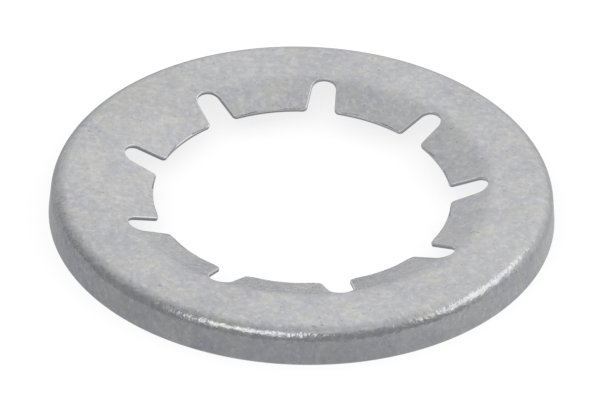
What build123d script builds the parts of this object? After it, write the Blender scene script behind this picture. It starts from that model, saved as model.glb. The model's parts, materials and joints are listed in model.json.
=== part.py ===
from build123d import *
from math import cos, radians, sin, tan
import os

os.makedirs("parts", exist_ok=True)

# A push-on lock washer: one disc of thin spring steel, stamped out and pressed.
# Sizes are in millimetres and degrees. It lies on the foot of its rim at z = 0,
# with the shaft's axis on Z, and the middle of one slot is over +Y.

sheet = 0.35             # thickness of the steel
height = 3.15            # from the rim's foot to the top of the flat ring
rim_diameter = 42.3      # over the rim at its foot
rim_draft = 5.0          # the rim opens out this much towards its foot
corner_radius = 1.4      # outside radius of the bend from the ring into the rim
ring_inner_diameter = 32.6   # the flat ring ends here and the tongues bend down
bend_radius = 3.0        # that bend's radius on the top side
tongue_drop = 20.0       # slope of the tongues
tip_circle = 24.8        # circle through the tongue tips, just under the shaft's size
tip_corner_radius = 0.4  # rounding of the tips' corners, seen from above
slot_count = 9
slot_circle = 31.0       # circle that the slots' closed ends reach
slot_width = 2.05        # diameter of a slot's round closed end
slot_taper = 3.4         # each side of a slot opens this much towards the axis

# Where the corner bend begins, worked back from the foot of the rim
wall_top = height - corner_radius * (1 - sin(radians(rim_draft)))
corner_start = (
    rim_diameter / 2
    - wall_top * tan(radians(rim_draft))
    - corner_radius * cos(radians(rim_draft))
)
slot_end = (slot_circle - slot_width) / 2

# One slot, seen from above: a round closed end and two straight sides that are
# tangent to it and run on inside the tip circle
with BuildSketch() as slot:
    with BuildLine():
        end = CenterArc((slot_end, 0), slot_width / 2, slot_taper - 90, 180 - 2 * slot_taper)
        left = PolarLine(end @ 1, slot_end / 2, direction=end % 1)
        right = PolarLine(end @ 0, slot_end / 2, direction=(end % 0) * -1)
        Line(left @ 1, right @ 1)
    make_face()

with BuildPart() as washer:
    # The section of the pressed sheet. Its top line runs from the flat ring down
    # the rim and down a tongue, past both ends, and is thickened on the underside.
    with BuildSketch(Plane.XZ):
        with BuildLine():
            ring = Line((ring_inner_diameter / 2, height), (corner_start, height))
            corner = JernArc(ring @ 1, ring % 1, corner_radius, rim_draft - 90)
            PolarLine(corner @ 1, height, direction=corner % 1)
            bend = JernArc(ring @ 0, (-1, 0), bend_radius, tongue_drop)
            PolarLine(bend @ 1, ring_inner_diameter / 4, direction=bend % 1)
            offset(amount=sheet, side=Side.RIGHT)
        make_face()
        # The foot is square to the axis, so that the washer lies flat on it
        below = (Align.CENTER, Align.MAX)
        Rectangle(2 * rim_diameter, 2 * height, align=below, mode=Mode.SUBTRACT)
    revolve(axis=Axis.Z)

    # The opening, seen from above: the tip circle with the slots running out of
    # it, and the corners between them rounded. It leaves the ring of tongues.
    with BuildSketch() as opening:
        Circle(tip_circle / 2)
        with PolarLocations(0, slot_count, start_angle=90):
            add(slot.sketch)
        corners = opening.vertices().group_by(SortBy.DISTANCE)[0]
        fillet(corners, tip_corner_radius)
    extrude(amount=height, mode=Mode.SUBTRACT)

washer.part.label = "washer"
export_step(washer.part, "parts/washer.step")
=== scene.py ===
# %% [markdown]
# # A push-on lock washer
# This is a small disc of spring steel that is pushed along a plain shaft and bites into
# it with nine sprung tongues. The real one is made in two blows: a press stamps a flat
# blank out of thin sheet, and a second tool bends the tongues and the rim. This scene
# makes it in the same order: a flat blank, its thickness, its edges, then the bends.

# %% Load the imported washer
import json
import math

import bmesh
import bpy
from mathutils import Matrix, Vector


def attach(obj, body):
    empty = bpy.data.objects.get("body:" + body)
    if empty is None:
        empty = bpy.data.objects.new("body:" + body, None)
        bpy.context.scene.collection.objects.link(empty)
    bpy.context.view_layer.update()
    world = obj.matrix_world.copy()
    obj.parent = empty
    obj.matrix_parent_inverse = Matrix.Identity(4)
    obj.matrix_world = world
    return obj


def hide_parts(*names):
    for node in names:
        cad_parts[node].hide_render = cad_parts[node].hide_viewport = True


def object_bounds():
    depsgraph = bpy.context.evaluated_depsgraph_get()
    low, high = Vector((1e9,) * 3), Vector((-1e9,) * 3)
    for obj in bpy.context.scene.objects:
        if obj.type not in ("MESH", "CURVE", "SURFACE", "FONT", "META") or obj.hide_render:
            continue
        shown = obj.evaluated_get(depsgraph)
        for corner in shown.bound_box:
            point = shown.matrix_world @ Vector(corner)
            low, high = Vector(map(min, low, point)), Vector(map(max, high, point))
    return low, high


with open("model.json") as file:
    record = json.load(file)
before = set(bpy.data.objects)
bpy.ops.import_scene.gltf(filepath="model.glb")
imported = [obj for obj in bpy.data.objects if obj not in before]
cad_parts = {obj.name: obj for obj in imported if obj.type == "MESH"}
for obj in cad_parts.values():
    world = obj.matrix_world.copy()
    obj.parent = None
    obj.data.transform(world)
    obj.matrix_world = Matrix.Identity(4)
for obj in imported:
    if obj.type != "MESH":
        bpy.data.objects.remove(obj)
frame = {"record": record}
cad_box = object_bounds()
mm = 0.001
print("washer as packed:", [round(side / mm, 2) for side in cad_box[1] - cad_box[0]], "mm")

# %% [markdown]
# ## The sizes
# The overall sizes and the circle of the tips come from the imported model, so the visual
# washer can't differ from it. The bends, the slots and the sheet are the sizes that a
# drawing of the part would give.

# %% Sizes of the washer
rim_radius = cad_box[1].x
height = cad_box[1].z
mounts = {mount["name"]: mount for mount in frame["record"]["mounts"]}
tip_radius = mounts["shaft_grip"]["dims"]["r_mm"] * mm

sheet = 0.35 * mm
ring_inner = 16.3 * mm
bend_radius = 3.0 * mm
tongue_drop = math.radians(20)
corner_radius = 1.4 * mm
rim_draft = math.radians(5)
slot_count = 9
slot_reach = 15.5 * mm
slot_end_radius = 1.025 * mm
slot_taper = math.radians(3.4)
tip_corner_radius = 0.4 * mm
print("tip circle:", round(2 * tip_radius / mm, 1), "mm,", slot_count, "slots")

# %% [markdown]
# ## The bent section
# A press doesn't stretch the sheet much, so a point on the blank stays at the same
# distance along the metal. The first function says where such a point ends up once the
# sheet is bent: how far from the axis, how high, and how far the surface leans there.
# The second one goes backwards along a tongue, from the radius that a point must end up
# at to its place on the flat blank.

# %% Follow the sheet through its bends
corner_angle = math.pi / 2 - rim_draft
wall_top = height - corner_radius * (1 - math.sin(rim_draft))
ring_outer = rim_radius - wall_top * math.tan(rim_draft) - corner_radius * math.cos(rim_draft)
bend_length = bend_radius * tongue_drop
corner_length = corner_radius * corner_angle


def bent(along):
    """Where a point of the sheet's top goes: its radius, its height and the surface's lean."""
    if ring_inner <= along <= ring_outer:
        return along, height, 0.0
    if along < ring_inner:
        start, side, radius, full = ring_inner, -1, bend_radius, tongue_drop
    else:
        start, side, radius, full = ring_outer, 1, corner_radius, corner_angle
    run = abs(along - start)
    turn = min(run / radius, full)
    straight = max(0.0, run - radius * full)
    out = radius * math.sin(turn) + straight * math.cos(turn)
    down = radius * (1 - math.cos(turn)) + straight * math.sin(turn)
    return start + side * out, height - down, side * turn


def flat_radius(radius):
    """The distance along the sheet of a tongue's point that ends up at this radius."""
    inwards = ring_inner - radius
    arc = bend_radius * math.sin(tongue_drop)
    if inwards < arc:
        return ring_inner - bend_radius * math.asin(inwards / bend_radius)
    return ring_inner - bend_length - (inwards - arc) / math.cos(tongue_drop)


blank_radius = ring_outer + corner_length + wall_top / math.cos(rim_draft)
blank_tip = flat_radius(tip_radius)
blank_slot = flat_radius(slot_reach)
print("blank: radius", round(blank_radius / mm, 2), "mm, of the tips", round(blank_tip / mm, 2), "mm")

# %% [markdown]
# ## Half of one tongue
# The washer repeats nine times, and each ninth is the same on both sides of its slot. So
# only a wedge of 20 degrees is drawn. Its mesh is a horseshoe: one line of edges goes
# round the tongue's corner and along the slot, a second line goes up the middle of the
# tongue and along the ring, and rows of faces join the two. Such rows follow the slot's
# round end, which a plain radial grid would cut across.

# %% Helpers that draw a line of edges
half_wedge = math.pi / slot_count
corner_steps = 8
side_steps = 18
ring_steps = 18


def arc_from(mesh, start, centre, angle, steps):
    """Turns a vertex about a centre, leaving a line of edges. Returns the last vertex."""
    made = bmesh.ops.spin(
        mesh, geom=[start], cent=centre, axis=(0, 0, 1), angle=angle, steps=steps
    )
    return next(item for item in made["geom_last"] if isinstance(item, bmesh.types.BMVert))


def line_from(mesh, start, end, steps):
    """Draws a straight line of edges from a vertex to a point. Returns the last vertex."""
    stride = (Vector(end) - start.co) / steps
    for _ in range(steps):
        start = bmesh.ops.extrude_vert_indiv(mesh, verts=[start])["verts"][0]
        bmesh.ops.translate(mesh, verts=[start], vec=stride)
    return start


print("wedge:", round(math.degrees(half_wedge), 1), "degrees, half of one ninth")

# %% [markdown]
# Seen from above, a slot has a full round end and two straight sides that are tangent to
# it. It could be cut out of a disc with a boolean, which leaves ragged faces round the
# cut. Drawn as a line of edges, the mesh follows it from the start: a vertex begins on
# the tip circle, turns about the centre of the tongue's corner, runs along the slot's
# side and turns about the centre of its end.

# %% The edge of the slot and the tongue's corner
away = Vector((math.sin(slot_taper), math.cos(slot_taper), 0))
inward = Vector((-math.cos(slot_taper), math.sin(slot_taper), 0))
slot_centre = Vector((blank_slot - slot_end_radius, 0, 0))

# The rounding's centre is one rounding away from the slot's side and from the tip circle
beside = slot_centre + away * (slot_end_radius + tip_corner_radius)
reach = blank_tip + tip_corner_radius
back = beside.dot(inward)
corner_centre = beside - inward * (back + math.sqrt(back**2 - beside.length_squared + reach**2))

blank = bmesh.new()
vertex = blank.verts.new(corner_centre.normalized() * blank_tip)
vertex = arc_from(blank, vertex, corner_centre, corner_centre.angle(away), corner_steps)
vertex = line_from(blank, vertex, slot_centre + away * slot_end_radius, side_steps)
arc_from(blank, vertex, slot_centre, slot_taper - math.pi / 2, ring_steps)
slot_edge = blank.edges[:]
print("slot's edge:", len(slot_edge), "edges")

# %% [markdown]
# The second line starts in the middle of the tongue's tip, goes out to the circle where
# the flat ring begins, and follows that circle round to the slot's middle. It has as many
# edges as the first line, so that each vertex has its partner there.

# %% The middle of the tongue and the start of the ring
hair = 0.002 * mm  # two points closer than this are one
middle = Vector((math.cos(half_wedge), math.sin(half_wedge), 0))
vertex = blank.verts.new(middle * blank_tip)
vertex = line_from(blank, vertex, middle * ring_inner, corner_steps + side_steps)
arc_from(blank, vertex, (0, 0, 0), -half_wedge, ring_steps)
far_edge = [edge for edge in blank.edges if edge not in slot_edge]
ring_start = [
    edge
    for edge in far_edge
    if all(abs(end.co.length - ring_inner) < hair for end in edge.verts)
]
print("far edge:", len(far_edge), "edges, of which on the ring:", len(ring_start))

# %% [markdown]
# The rows between the two lines would be straight, and the tips are round. So the wedge
# is unrolled first: distance from the axis becomes X and angle becomes Y, and a circle
# about the axis is then a straight line. Once the rows are made it is rolled up again.

# %% Join the two lines with rows of faces
tongue_rows = 6


def unrolled(point):
    """Distance from the axis along X, and length along the ring's circle along Y."""
    return Vector((point.length, math.atan2(point.y, point.x) * ring_inner, 0))


def rolled(point):
    """The way back."""
    turn = Matrix.Rotation(point.y / ring_inner, 3, "Z")
    return turn @ Vector((point.x, 0, 0))


for vertex in blank.verts:
    vertex.co = unrolled(vertex.co)
bmesh.ops.bridge_loops(blank, edges=slot_edge + far_edge)
rungs = [edge for edge in blank.edges if edge not in slot_edge and edge not in far_edge]
bmesh.ops.subdivide_edges(blank, edges=rungs, cuts=tongue_rows - 1, use_grid_fill=True)
for vertex in blank.verts:
    vertex.co = rolled(vertex.co)
print("half a tongue:", len(blank.faces), "faces")

# %% [markdown]
# ## The ring and the rim
# Outside the tongues the sheet is unbroken, so the last line of edges is simply drawn
# outwards again and again, with the rows close together where the corner will be bent.

# %% Draw the ring and the rim outwards
ring_rows = 6
corner_rows = 18
wall_rows = 8
corner_end = ring_outer + corner_length
stretches = ((ring_outer, ring_rows), (corner_end, corner_rows), (blank_radius, wall_rows))


def widened(mesh, edges, radius, new_radius):
    """Draws edges again further from the axis, joined by faces. Returns the new edges."""
    made = bmesh.ops.extrude_edge_only(mesh, edges=edges)["geom"]
    ends = [item for item in made if isinstance(item, bmesh.types.BMVert)]
    growth = new_radius / radius
    bmesh.ops.scale(mesh, verts=ends, vec=(growth, growth, 1))
    lines = [item for item in made if isinstance(item, bmesh.types.BMEdge)]
    return [edge for edge in lines if all(end in ends for end in edge.verts)]


row = ring_start
row_radius = ring_inner
for goal, count in stretches:
    row_width = (goal - row_radius) / count
    for _ in range(count):
        row = widened(blank, row, row_radius, row_radius + row_width)
        row_radius += row_width
print("half a ninth:", len(blank.faces), "faces, out to", round(row_radius / mm, 2), "mm")

# %% [markdown]
# ## The whole blank
# The half wedge is mirrored across the slot's middle, and the ninth that this gives is
# turned round the axis. The wedge was drawn along +X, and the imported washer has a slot
# over +Y, so everything is turned a quarter as well. Mirroring can leave faces that point
# the other way, so all are made to agree before the sheet gets its thickness.

# %% Mirror, repeat and thicken
def everything(mesh):
    """All that an operator may want to work on."""
    return mesh.verts[:] + mesh.edges[:] + mesh.faces[:]


bmesh.ops.mirror(blank, geom=everything(blank), matrix=Matrix(), merge_dist=hair, axis="Y")
bmesh.ops.spin(
    blank,
    geom=everything(blank),
    cent=(0, 0, 0),
    axis=(0, 0, 1),
    angle=2 * math.pi * (slot_count - 1) / slot_count,
    steps=slot_count - 1,
    use_duplicate=True,
)
bmesh.ops.remove_doubles(blank, verts=blank.verts, dist=hair)
bmesh.ops.rotate(blank, verts=blank.verts, matrix=Matrix.Rotation(math.pi / 2, 3, "Z"))
bmesh.ops.recalc_face_normals(blank, faces=blank.faces)
bmesh.ops.solidify(blank, geom=everything(blank), thickness=sheet)
top = max(vertex.co.z for vertex in blank.verts)
bmesh.ops.translate(blank, verts=blank.verts, vec=(0, 0, -top))
thickness = -min(vertex.co.z for vertex in blank.verts)
loose = [edge for edge in blank.edges if len(edge.link_faces) != 2]
print("blank:", len(blank.faces), "faces,", round(thickness / mm, 3), "mm thick")
print("open edges:", len(loose))

# %% [markdown]
# ## The edges
# A punch drags the sheet's top edge round a little before it shears through, and leaves a
# sharper edge below. The rounded top edge is what catches the light as a thin line along
# each slot, so both edges are bevelled, the upper one wider.

# %% Round the stamped edges
top_rounding = 0.11 * mm
top_segments = 4
lower_rounding = 0.03 * mm
lower_segments = 2
corner_at_least = math.radians(60)  # only the stamped edges turn by so much

blank.normal_update()
sharp = [edge for edge in blank.edges if edge.calc_face_angle() > corner_at_least]
upper = [edge for edge in sharp if edge.verts[0].co.z > -sheet / 2]
lower = [edge for edge in sharp if edge.verts[0].co.z < -sheet / 2]
roundings = ((upper, top_rounding, top_segments), (lower, lower_rounding, lower_segments))
for edges, rounding, segments in roundings:
    bmesh.ops.bevel(
        blank,
        geom=edges,
        offset=rounding,
        offset_type="OFFSET",
        segments=segments,
        profile=0.5,
        affect="EDGES",
        material=-1,
    )
print("with its edges rounded:", len(blank.faces), "faces")

# %% [markdown]
# The material has to know where it is on the washer: a sheared wall is darker than the
# rolled sheet, an edge is painted lighter for rubbed wear and as a painted highlight
# line, and the outer corner takes most of the knocks.
# So each face or vertex carries such a mark as a number. That is easiest now, while the
# blank is flat. How much a face looks up or down tells a wall from a rounding and from
# the sheet, and the distance from the axis tells where the corner will be.

# %% Mark the walls, the edges and the outer corner
wall_below = 0.1
sheet_above = 0.99
knocks_fade = 1.5 * mm

blank.normal_update()
sheared = blank.faces.layers.float.new("sheared")
# the rounding faces are painted lighter later: rubbed wear plus a painted highlight line
rubbed_and_painted_highlight = blank.faces.layers.float.new("rubbed_and_painted_highlight")
knocked = blank.verts.layers.float.new("knocked")
for face in blank.faces:
    upright = abs(face.normal.z)
    face[sheared] = 1.0 if upright < wall_below else 0.0
    face[rubbed_and_painted_highlight] = 1.0 if wall_below <= upright < sheet_above else 0.0
    face.smooth = True
for vertex in blank.verts:
    before_corner = ring_outer - vertex.co.xy.length
    vertex[knocked] = min(1.0, max(0.0, 1 - before_corner / knocks_fade))
print("sheared:", sum(face[sheared] > 0 for face in blank.faces), "faces")
print("rubbed:", sum(face[rubbed_and_painted_highlight] > 0 for face in blank.faces), "faces")
print("knocked:", sum(vertex[knocked] > 0 for vertex in blank.verts), "vertices")

# %% [markdown]
# ## The second blow
# Every vertex now moves to where the bent sheet carries it. A point under the top surface
# stays straight below it, along the surface's own lean, so the metal keeps its thickness
# round each bend. The foot is then pressed flat, as it stands on the table.

# %% Bend the blank
for vertex in blank.verts:
    depth = -vertex.co.z
    radius, rise, lean = bent(vertex.co.xy.length)
    radius -= depth * math.sin(lean)
    rise -= depth * math.cos(lean)
    spot = vertex.co.xy.normalized() * radius
    vertex.co = (spot.x, spot.y, max(rise, 0))

washer_mesh = bpy.data.meshes.new("pressed_washer")
blank.to_mesh(washer_mesh)
blank.free()
washer = bpy.data.objects.new("pressed_washer", washer_mesh)
bpy.context.scene.collection.objects.link(washer)
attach(washer, "root")
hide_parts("washer")
washer_mesh.calc_loop_triangles()
print("pressed washer:", len(washer_mesh.loop_triangles), "triangles")

# %% [markdown]
# ## A material from nodes
# Every finish here is worked out from the place on the piece, so it needs no pictures and
# looks the same from all sides. Three small helpers keep the recipes short: one turns a
# colour as a painter writes it into the numbers that light works with, one adds a node
# with its settings and links, and one starts an empty material.

# %% Helpers for materials
def linear(code):
    """An sRGB hex colour as the linear numbers that a shader takes."""
    shares = [int(code[start : start + 2], 16) / 255 for start in (1, 3, 5)]
    return (*[s / 12.92 if s <= 0.04045 else ((s + 0.055) / 1.055) ** 2.4 for s in shares], 1)


def add_node(tree, kind, settings=None, inputs=None):
    """Adds a node, sets its settings, and gives its inputs values or links."""
    node = tree.nodes.new(kind)
    for name, value in (settings or {}).items():
        setattr(node, name, value)
    for name, value in (inputs or {}).items():
        if isinstance(value, bpy.types.NodeSocket):
            tree.links.new(value, node.inputs[name])
        else:
            node.inputs[name].default_value = value
    return node


def new_material(name):
    """A material with nothing in it yet."""
    material = bpy.data.materials.new(name)
    material.use_nodes = True
    material.node_tree.nodes.clear()
    return material


print("middle grey is", [round(share, 3) for share in linear("#808080")])

# %% [markdown]
# ## Zinc-plated spring steel
# The washer is spring steel that was stamped, tumbled with its fellows in a barrel and
# plated with zinc. Zinc is a metal, so it has no colour of its own under the shine: its
# base colour tints what it mirrors. The plate grows as tiny crystals in patches, which
# the eye reads as a soft mottle, some patches bluish and a little darker, others warmer
# and lighter. The clear film that seals it is thinner than a wave of light and tints it
# faintly, here greenish, there violet. Noise at a few real sizes gives all that, where
# one flat grey would look like plastic. The crystals themselves are far too fine to show,
# so the grain is drawn as coarse as the picture can hold.

# %% Helpers for the plate
zinc = new_material("zinc_plated_spring_steel")
plate = zinc.node_tree
point = add_node(plate, "ShaderNodeTexCoord").outputs["Object"]

# A Mix node has its factor on input 0, its two colours on 6 and 7, the result on output 2
mix = {"data_type": "RGBA"}
multiply = {"data_type": "RGBA", "blend_type": "MULTIPLY"}


def blotches(size, detail=2.0, roughness=0.5, low=0.35, high=0.65, start=0.0, end=1.0):
    """Random blotches of about this size in metres, as numbers from start to end."""
    # Noise keeps near a half, so what lies between low and high is spread over that range
    fractal = {"Vector": point, "Scale": 1 / size, "Detail": detail, "Roughness": roughness}
    value = add_node(plate, "ShaderNodeTexNoise", inputs=fractal).outputs["Fac"]
    spread = {"Value": value, "From Min": low, "From Max": high, "To Min": start, "To Max": end}
    return add_node(plate, "ShaderNodeMapRange", inputs=spread).outputs["Result"]


def shaded(colour, pattern, dark, full="#FFFFFF"):
    """Multiplies a colour by shades that go from dark to full with a pattern."""
    ends = {0: pattern, 6: linear(dark), 7: linear(full)}
    shade = add_node(plate, "ShaderNodeMix", mix, ends).outputs[2]
    return add_node(plate, "ShaderNodeMix", multiply, {0: 1.0, 6: colour, 7: shade}).outputs[2]


print("the plate reads its place from:", point.name)

# %% [markdown]
# The layers go on in the order in which the eye finds them from far to near: the patches,
# the clouds and the film, then the grain.

# %% Patches, clouds, film and grain
patch_size = 2.4 * mm
cloud_size = 7.0 * mm
film_size = 2.0 * mm
grain_size = 0.55 * mm

patches = blotches(patch_size, detail=5.0, roughness=0.75)
bluish_to_warm = {0: patches, 6: linear("#C0C0C7"), 7: linear("#CCCCC8")}
colour = add_node(plate, "ShaderNodeMix", mix, bluish_to_warm).outputs[2]
colour = shaded(colour, blotches(cloud_size), "#F5F5F5")
film = blotches(film_size, detail=5.0, roughness=0.8)
colour = shaded(colour, film, "#FDFFFD", "#FFFEFF")
grain = blotches(grain_size, detail=3.0, roughness=0.6, low=0.3, high=0.7)
colour = shaded(colour, grain, "#EEEEEE")
print("plate: patches", round(patch_size / mm, 2), "mm, grain", round(grain_size / mm, 2), "mm")

# %% [markdown]
# ## Flecks, pits, walls and edges
# Four more layers each cover a part of the plate with one colour. There are bright flecks
# where a crystal stands out, and dark pits where one is missing. A punch cuts smoothly
# through the upper part of the sheet and tears the rest, so the narrow walls are duller
# than the rolled faces and take the plate a little darker. The rounded edges above them
# are painted lighter: partly for the barrel's rubbing, partly as a painted highlight line
# along each edge. The marks that the faces were given tell both apart.

# %% Colour of the flecks, the pits, the walls and the edges
fleck_size = 0.5 * mm
pit_size = 0.32 * mm

flecks = blotches(fleck_size, detail=4.0, roughness=0.7, low=0.53, high=0.60, end=0.35)
pits = blotches(pit_size, detail=1.0, low=0.71, high=0.77, end=0.6)
marks = {
    mark: add_node(plate, "ShaderNodeAttribute", {"attribute_name": mark}).outputs["Fac"]
    for mark in ("sheared", "rubbed_and_painted_highlight", "knocked")
}
covers = (
    (flecks, "#D9D9DB"),
    (pits, "#7E7F82"),
    (marks["sheared"], "#A2A2A5"),
    # the edges' lighter colour: rubbed wear and a painted highlight line
    (marks["rubbed_and_painted_highlight"], "#D6D6D8"),
)
for share, shade in covers:
    covered = {0: share, 6: colour, 7: linear(shade)}
    colour = add_node(plate, "ShaderNodeMix", mix, covered).outputs[2]
print("marks on the mesh:", [mark for mark in marks if mark in washer_mesh.attributes])

# %% [markdown]
# ## Dents from the barrel
# Tumbling leaves the surface softly hammered, most of all on the outer corner, and that
# is what breaks the long reflection there into beads. The dents are far too small and too
# many for the mesh, so three bump nodes tilt the surface instead. Each takes its depth in
# metres. Plated zinc is bright but not polished, with a roughness of about a quarter, and
# it varies a little from place to place, as on all metal that has been handled.

# %% Dents and shine
sheltered = 0.4  # strength of the dents away from the outer corner
exposure = {"Value": marks["knocked"], "To Min": sheltered}
knocks = add_node(plate, "ShaderNodeMapRange", inputs=exposure).outputs["Result"]


def dented(size, depth, normal=None):
    """A surface with random dents of about this size and depth in metres."""
    hollows = {"Vector": point, "Scale": 1 / size, "Detail": 1.0}
    hammered = add_node(plate, "ShaderNodeTexNoise", inputs=hollows).outputs["Fac"]
    inputs = {"Height": hammered, "Distance": depth, "Strength": knocks}
    if normal:
        inputs["Normal"] = normal
    return add_node(plate, "ShaderNodeBump", inputs=inputs).outputs["Normal"]


normal = dented(size=0.9 * mm, depth=0.045 * mm)
normal = dented(size=0.38 * mm, depth=0.042 * mm, normal=normal)
normal = dented(size=0.14 * mm, depth=0.004 * mm, normal=normal)
smear_size = 0.35 * mm
shine = blotches(smear_size, detail=3.0, low=0.3, high=0.7, start=0.20, end=0.30)
shader = add_node(
    plate,
    "ShaderNodeBsdfPrincipled",
    inputs={"Base Color": colour, "Metallic": 1.0, "Roughness": shine, "Normal": normal},
)
add_node(plate, "ShaderNodeOutputMaterial", inputs={"Surface": shader.outputs["BSDF"]})
washer_mesh.materials.append(zinc)
print("zinc plate:", len(plate.nodes), "nodes")

# %% [markdown]
# ## The studio
# What stands round the washer is stage: it is there for the picture and isn't part of the
# washer. The paper and the sky have to look white, in the metal's reflections too, without
# lighting the scene any more for it. A Light Path node tells which kind of ray asks, so a
# surface can be brighter to look at than it is as a lamp.

# %% Helpers for the studio
def is_seen(tree):
    """1 for rays from the camera or mirrored by or passing through a surface, else 0."""
    ray = add_node(tree, "ShaderNodeLightPath").outputs
    add = {"operation": "ADD", "use_clamp": True}
    seen = add_node(tree, "ShaderNodeMath", add, {0: ray["Is Camera Ray"], 1: ray["Is Glossy Ray"]})
    also = {0: seen.outputs["Value"], 1: ray["Is Transmission Ray"]}
    return add_node(tree, "ShaderNodeMath", add, also).outputs["Value"]


def stage_object(name, mesh, material):
    """Adds a piece of the studio, which isn't part of the washer."""
    # It shines only where it is seen or mirrored, so aiming light rays at it adds only noise
    material.cycles.emission_sampling = "NONE"
    piece_mesh = bpy.data.meshes.new(name)
    mesh.to_mesh(piece_mesh)
    mesh.free()
    piece_mesh.materials.append(material)
    piece = bpy.data.objects.new(name, piece_mesh)
    bpy.context.scene.collection.objects.link(piece)
    return piece


# %% [markdown]
# ## The table
# The washer lies on white paper. Paper scatters light evenly, so it is a plain diffuse
# surface, and it takes the washer's soft shadow. Where it is seen or mirrored it is lifted
# to white by a little light of its own, so that no extra light has to fall on the washer.

# %% White paper
paper_lift = 0.77
paper = new_material("white_paper")
paper_tree = paper.node_tree
matte = add_node(paper_tree, "ShaderNodeBsdfDiffuse", inputs={"Color": linear("#949494")})
lifted = {0: is_seen(paper_tree), 1: paper_lift}
lift = add_node(paper_tree, "ShaderNodeMath", {"operation": "MULTIPLY"}, lifted)
glow = add_node(paper_tree, "ShaderNodeEmission", inputs={"Strength": lift.outputs["Value"]})
both = {0: matte.outputs["BSDF"], 1: glow.outputs["Emission"]}
surface = add_node(paper_tree, "ShaderNodeAddShader", inputs=both)
add_node(paper_tree, "ShaderNodeOutputMaterial", inputs={"Surface": surface.outputs["Shader"]})

table_half = 1.5
table_top = bmesh.new()
bmesh.ops.create_grid(table_top, x_segments=1, y_segments=1, size=table_half)
table = stage_object("table", table_top, paper)
print("table:", [round(side, 2) for side in table.dimensions], "m")

# %% [markdown]
# ## The room
# A world shader lights the scene evenly from all round. It is a little under full
# strength for the light that falls on the paper, and white where it is seen or mirrored.
# The view transform is Standard, so a colour comes out as it is written.

# %% World and view
bpy.context.scene.view_settings.view_transform = "Standard"
unseen_light = 0.75
room = bpy.data.worlds.new("room")
bpy.context.scene.world = room
room.use_nodes = True
room_tree = room.node_tree
room_tree.nodes.clear()
level = {"Value": is_seen(room_tree), "To Min": unseen_light}
strength = add_node(room_tree, "ShaderNodeMapRange", inputs=level).outputs["Result"]
sky_light = {"Color": linear("#FFFFFF"), "Strength": strength}
sky = add_node(room_tree, "ShaderNodeBackground", inputs=sky_light)
add_node(room_tree, "ShaderNodeOutputWorld", inputs={"Surface": sky.outputs["Background"]})
print("view transform:", bpy.context.scene.view_settings.view_transform)

# %% [markdown]
# ## What the metal mirrors
# Metal shows its surroundings, so a washer in an all-white room has no form. A
# photographer puts a grey tent round it: bright behind the washer, where the light comes
# in, and darker towards the camera. The tent is a dome with a round opening for the
# window, and a grey card lies under the washer. Both shine by themselves, in a cool grey
# that grows lighter along one direction, and both are there for mirrored rays only.

# %% Helpers for the surroundings
camera_azimuth = math.radians(6.33)
camera_turn = Matrix.Rotation(camera_azimuth, 3, "Z")


def towards(bearing, rise):
    """The direction at this bearing and height in degrees. The camera's bearing is 270."""
    bearing, rise = math.radians(bearing), math.radians(rise)
    along_table = Vector((math.cos(bearing), math.sin(bearing), 0)) * math.cos(rise)
    return camera_turn @ (along_table + Vector((0, 0, math.sin(rise))))


def graded_light(name, direction, dim_at, bright_at, dim, bright):
    """A surface that shines dimly at one distance along a direction and brightly at another."""
    material = new_material(name)
    tree = material.node_tree
    where = add_node(tree, "ShaderNodeTexCoord").outputs["Object"]
    dot = {"operation": "DOT_PRODUCT"}
    along = add_node(tree, "ShaderNodeVectorMath", dot, {0: where, 1: direction}).outputs["Value"]
    steps = {"Value": along, "From Min": dim_at, "From Max": bright_at}
    share = add_node(tree, "ShaderNodeMapRange", inputs=steps).outputs["Result"]
    colours = {0: share, 6: linear(dim), 7: linear(bright)}
    shade = add_node(tree, "ShaderNodeMix", mix, colours).outputs[2]
    light = add_node(tree, "ShaderNodeEmission", inputs={"Color": shade})
    add_node(tree, "ShaderNodeOutputMaterial", inputs={"Surface": light.outputs["Emission"]})
    return material


def mirrored_only(piece):
    """Hides a piece from everything but mirrored rays."""
    piece.visible_camera = False
    piece.visible_diffuse = False
    piece.visible_transmission = False
    piece.visible_shadow = False


print("camera's azimuth:", round(math.degrees(camera_azimuth), 2), "degrees")

# %% [markdown]
# The dome starts as a sphere with its pole turned towards the window. Its first rows of
# faces round that pole are taken out, which leaves a clean round opening.

# %% Grey dome
dome_radius = 1.2
dome_rows = 36
dome_dim_at = 0.10 * dome_radius
dome_bright_at = 0.95 * dome_radius
window = towards(65, 40)
window_half_angle = math.radians(25)

dome = bmesh.new()
bmesh.ops.create_uvsphere(dome, u_segments=2 * dome_rows, v_segments=dome_rows, radius=dome_radius)
pole = window.to_track_quat("Z", "Y").to_matrix()
bmesh.ops.rotate(dome, verts=dome.verts, matrix=pole)
opening = [
    face for face in dome.faces if face.calc_center_median().angle(window) < window_half_angle
]
bmesh.ops.delete(dome, geom=opening, context="FACES")
bmesh.ops.reverse_faces(dome, faces=dome.faces)
print("dome:", len(dome.faces), "faces left,", len(opening), "taken out for the window")
grey_cloth = graded_light("grey_cloth", window, dome_dim_at, dome_bright_at, "#A3A4A7", "#F9F9FA")
mirrored_only(stage_object("dome", dome, grey_cloth))

# %% [markdown]
# The card is a flat ring just above the paper. What the rim's wall mirrors is the card
# close by, lighter on the window's side. The nearest tongue leans over the middle of the
# opening, so the card has a hole there, and the tongue mirrors the white paper.

# %% Grey card
card_radius = 120 * mm
card_hole = 8 * mm
card_sides = 64
card_lift = 0.02 * mm
card_dim_at = -2 * mm
card_bright_at = 10 * mm
lighter_side = towards(21, 0)

card = bmesh.new()
bmesh.ops.create_circle(card, segments=card_sides, radius=card_hole)
widened(card, card.edges[:], card_hole, card_radius)
bmesh.ops.translate(card, verts=card.verts, vec=(0, 0, card_lift))
print("card:", len(card.faces), "faces,", round(card_radius * 2, 2), "m across")
grey_card = graded_light("grey_card", lighter_side, card_dim_at, card_bright_at, "#BCBDC0", "#D2D3D5")
mirrored_only(stage_object("card", card, grey_card))

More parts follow.
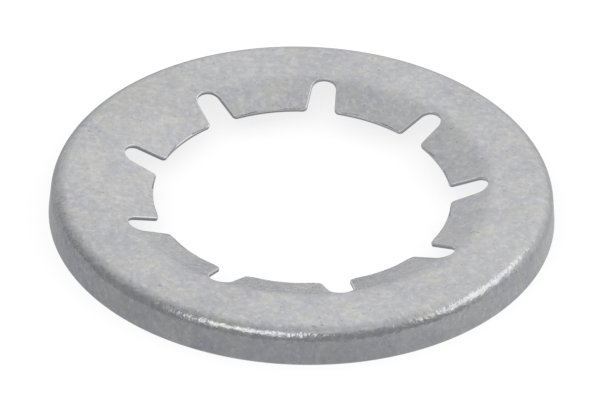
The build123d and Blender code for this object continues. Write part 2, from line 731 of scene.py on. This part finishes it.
# %% [markdown]
# ## The lamps
# Two softboxes stand to the left and the right of the washer, and each one draws a
# bright band on the rounded corner. A third, faint one hangs high in front and lightens
# the corner between them. A lamp is set by how bright its face looks, so its power
# follows from its area.

# %% Softboxes
lamp_distance = 0.8


def softbox(name, bearing, rise, width, depth, radiance):
    """A rectangular lamp that faces the washer and looks this bright."""
    light = bpy.data.lights.new(name, "AREA")
    light.shape = "RECTANGLE"
    light.size = width
    light.size_y = depth
    light.energy = radiance * math.pi * width * depth
    lamp = bpy.data.objects.new(name, light)
    bpy.context.scene.collection.objects.link(lamp)
    direction = towards(bearing, rise)
    lamp.location = direction * lamp_distance
    lamp.rotation_mode = "QUATERNION"
    lamp.rotation_quaternion = direction.to_track_quat("Z", "Y")
    print(name + ":", round(light.energy, 2), "W")


softbox("left_softbox", bearing=243, rise=47, width=0.60, depth=0.30, radiance=1.35)
softbox("right_softbox", bearing=3, rise=40, width=0.70, depth=0.32, radiance=0.80)
softbox("ceiling", bearing=285, rise=62, width=0.45, depth=0.30, radiance=0.25)

# %% [markdown]
# ## The camera
# The photograph was taken from well above the table with a long lens, so the circles
# are nearly true ellipses. The lens follows from the washer's size in the picture and
# the camera's distance.

# %% Camera
distance = 0.63
nearest_seen = 0.01  # small things are looked at from close by
focal_pixels = 7523
picture_width = 600
elevation = math.radians(35.71)
roll = math.radians(1.57)
aim = Vector((-0.155, 1.336, 0)) * mm

camera_data = bpy.data.cameras.new("camera")
camera = bpy.data.objects.new("camera", camera_data)
bpy.context.scene.collection.objects.link(camera)
bpy.context.scene.camera = camera
camera_data.lens = focal_pixels * camera_data.sensor_width / picture_width
camera_data.clip_start = nearest_seen

behind = camera_turn @ Vector((0, -math.cos(elevation), math.sin(elevation)))
camera.location = camera_turn @ aim + behind * distance
level_view = behind.to_track_quat("Z", "Y")
camera.rotation_mode = "QUATERNION"
camera.rotation_quaternion = level_view @ Matrix.Rotation(roll, 3, "Z").to_quaternion()
print("lens:", round(camera_data.lens), "mm, camera at", [round(c, 3) for c in camera.location])
